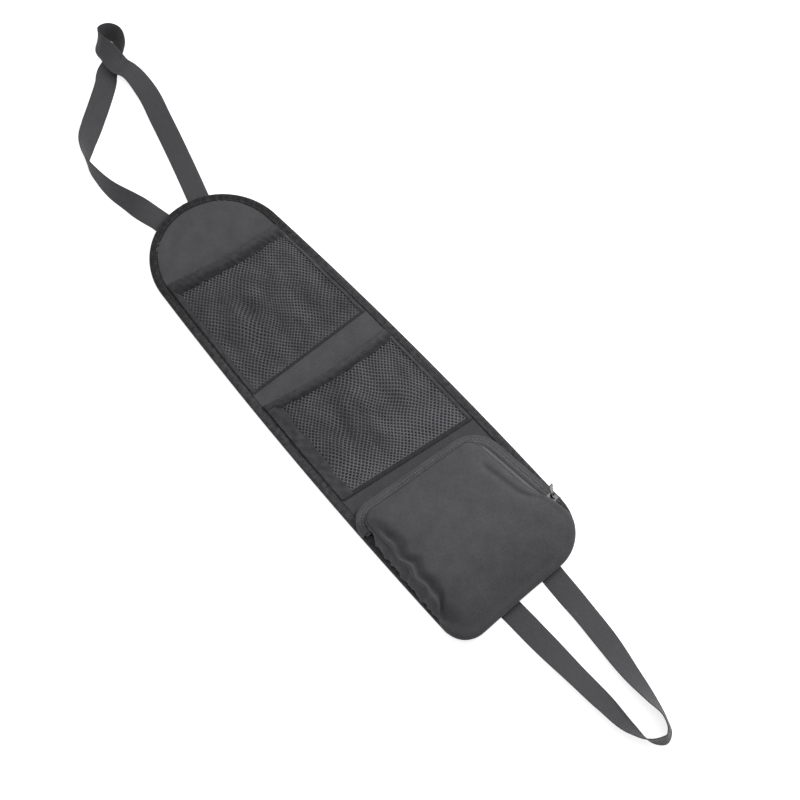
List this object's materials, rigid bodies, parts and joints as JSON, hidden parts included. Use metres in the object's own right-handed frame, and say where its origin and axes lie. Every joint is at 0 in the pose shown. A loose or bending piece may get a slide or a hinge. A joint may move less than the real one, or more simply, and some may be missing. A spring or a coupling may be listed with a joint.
{
  "type": "car seat side organizer",
  "caption": "Long arched cloth panel with net pockets, a zip pocket and webbing loops, to hang on the side or back of a car seat.",
  "frame": {"origin": "middle of the rear cloth's rear face, halfway along the panel", "axes": "+Z through the panel towards the pockets' fronts, +Y along the panel to its arched end, +X to the side where the zip's slider rests"},
  "size_m": [0.1848, 1.0316, 0.038],
  "materials": {
    "oxford_cloth": "charcoal oxford weave, matt",
    "rear_oxford_cloth": "charcoal oxford weave, matt",
    "stiffener_board": "plain thin sheet, hidden",
    "binding_tape": "near-black woven tape, folded and stitched",
    "net": "charcoal knitted diamond net",
    "hem_tape": "near-black smooth hem cloth",
    "webbing": "charcoal ribbed webbing",
    "zip_tape": "near-black woven tape",
    "zip_coil": "dark grey coil teeth with a slight sheen",
    "dark_metal": "dark plated metal with bright edges"
  },
  "bodies": {
    "organizer": {"rear_cloth": "rear_oxford_cloth", "stiffener_sheet": "stiffener_board", "front_cloth": "oxford_cloth", "edge_binding": "binding_tape", "upper_mesh": "net", "upper_mesh_hem": "hem_tape", "middle_mesh": "net", "middle_mesh_hem": "hem_tape", "pocket_front": "oxford_cloth", "pocket_gusset": "oxford_cloth", "zip_tape_rear": "zip_tape", "zip_tape_front": "zip_tape", "zip_teeth_rear": "zip_coil", "zip_teeth_front": "zip_coil", "zip_stop_rear": "dark_metal", "zip_stop_front": "dark_metal", "zip_end_stop": "dark_metal", "headrest_strap": "webbing", "seat_strap": "webbing"},
    "zip_slider": {"zip_slider": "dark_metal"},
    "zip_pull": {"zip_pull": "dark_metal"}
  },
  "joints": [
    {"name": "zip_slide", "type": "slide", "parent": "organizer", "child": "zip_slider", "axis": [-0.1035, 0.9946, 0], "range_m": [0, 0.072]},
    {"name": "zip_pull_hinge", "type": "hinge", "parent": "zip_slider", "child": "zip_pull", "pos_m": [0.08318, -0.23598, 0.0122], "axis": [0.9946, 0.1035, 0], "range_deg": [-72, 50]}
  ]
}
